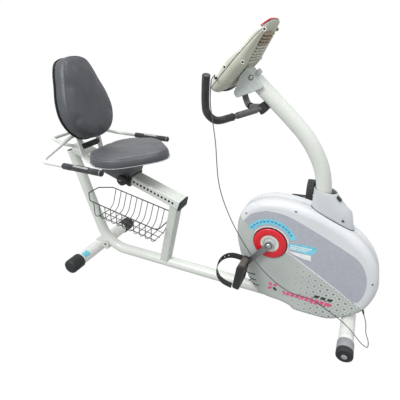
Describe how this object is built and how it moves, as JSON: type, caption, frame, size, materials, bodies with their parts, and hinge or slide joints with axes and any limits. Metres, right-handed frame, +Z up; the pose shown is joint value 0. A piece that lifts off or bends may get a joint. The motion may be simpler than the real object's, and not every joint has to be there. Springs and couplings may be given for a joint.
{
  "type": "recumbent exercise bike",
  "caption": "Recumbent exercise bike with a low tube frame, enclosed drive, sliding padded seat and backrest, armrests, wire basket, curved mast, handlebar and console",
  "frame": {"origin": "middle of the footprint, on the floor", "axes": "+X the way the rider faces, +Y the rider's left, +Z up"},
  "size_m": [1.7451, 0.639, 1.3164],
  "materials": {
    "frame": "pearl white gloss paint",
    "housing": "pearl white with a tinted side panel",
    "shroud": "satin grey",
    "black": "fine grain",
    "foam": "closed-cell foam",
    "vinyl": "charcoal vinyl, soft sheen",
    "red": "bright red",
    "steel": "bright",
    "iron": "machined rim",
    "belt": "matt",
    "console": "warm pale grey",
    "cover": "pale grey",
    "lens": "dark window",
    "carriage": "dark grey",
    "wire": "dark coated wire",
    "board": "black"
  },
  "bodies": {
    "frame": {"main_beam": "frame", "front_strut": "frame", "seat_rail": "frame", "rail_end_cap": "black", "rear_stabilizer": "frame", "rear_saddle": "frame", "rear_cap_right": "black", "rear_cap_left": "black", "front_stabilizer": "frame", "front_cap_right": "black", "front_cap_left": "black", "bottom_bracket": "frame", "bearing_right": "steel", "bearing_left": "steel", "drive_plate_right": "frame", "drive_plate_left": "frame", "brake_magnet": "steel", "flywheel_axle": "steel", "belt": "belt", "housing_right": "housing", "housing_left": "housing", "mast_shroud": "shroud", "mast": "frame", "console_cover": "cover", "handlebar": "frame", "bar_clamp": "black", "bar_grip_right": "foam", "bar_grip_left": "foam", "console_back": "console", "console_front": "console", "display_lens": "lens", "basket": "wire", "cord": "belt", "cord_plug": "black"},
    "crank": {"crank_axle": "steel", "drive_pulley": "black", "crank_disc_right": "red", "crank_disc_left": "red", "crank_arm_right": "steel", "crank_arm_left": "steel"},
    "pedal_right": {"pedal_right": "black", "pedal_strap_right": "black"},
    "pedal_left": {"pedal_left": "black", "pedal_strap_left": "black"},
    "flywheel": {"flywheel": "iron"},
    "idler": {"idler_wheel": "black"},
    "seat": {"seat_carriage": "carriage", "seat_pan": "board", "seat_cushion": "vinyl", "back_frame": "frame", "back_board": "board", "back_cushion": "vinyl", "armrest_tube": "frame", "arm_grip_right": "foam", "arm_grip_left": "foam"},
    "pin": {"pull_pin": "black"},
    "wheel_right": {"transport_wheel_right": "black"},
    "wheel_left": {"transport_wheel_left": "black"},
    "button_1": {"button_1": "black"},
    "button_2": {"button_2": "red"}
  },
  "joints": [
    {"name": "crank_spin", "type": "hinge", "parent": "frame", "child": "crank", "pos_m": [0.3799, 0, 0.38], "axis": [0, 1, 0], "continuous": true},
    {"name": "pedal_right_spin", "type": "hinge", "parent": "crank", "child": "pedal_right", "pos_m": [0.27832, -0.1645, 0.24998], "axis": [0, 1, 0], "continuous": true},
    {"name": "pedal_left_spin", "type": "hinge", "parent": "crank", "child": "pedal_left", "pos_m": [0.48148, 0.1645, 0.51002], "axis": [0, 1, 0], "continuous": true},
    {"name": "flywheel_spin", "type": "hinge", "parent": "frame", "child": "flywheel", "pos_m": [0.6429, 0, 0.268], "axis": [0, 1, 0], "continuous": true},
    {"name": "idler_spin", "type": "hinge", "parent": "frame", "child": "idler", "pos_m": [0.53416, 0.0235, 0.22747], "axis": [0, 1, 0], "continuous": true},
    {"name": "seat_slide", "type": "slide", "parent": "frame", "child": "seat", "axis": [0.9489, 0, -0.3156], "range_m": [-0.05, 0.22]},
    {"name": "pin_pull", "type": "slide", "parent": "seat", "child": "pin", "axis": [0, -1, 0], "range_m": [0, 0.01], "stiffness_N_per_m": 400, "springref_m": -0.004},
    {"name": "wheel_right_spin", "type": "hinge", "parent": "frame", "child": "wheel_right", "pos_m": [0.7819, -0.2517, 0.036], "axis": [0, 1, 0], "continuous": true},
    {"name": "wheel_left_spin", "type": "hinge", "parent": "frame", "child": "wheel_left", "pos_m": [0.7819, 0.2517, 0.036], "axis": [0, 1, 0], "continuous": true},
    {"name": "button_1_press", "type": "slide", "parent": "frame", "child": "button_1", "axis": [0.749, 0, -0.6626], "range_m": [0, 0.0015], "stiffness_N_per_m": 300, "springref_m": -0.001},
    {"name": "button_2_press", "type": "slide", "parent": "frame", "child": "button_2", "axis": [0.749, 0, -0.6626], "range_m": [0, 0.0015], "stiffness_N_per_m": 300, "springref_m": -0.001}
  ],
  "couplings": [
    {"joint": "flywheel_spin", "follows": "crank_spin", "ratio": 5.2083},
    {"joint": "idler_spin", "follows": "crank_spin", "ratio": -7.0889}
  ]
}
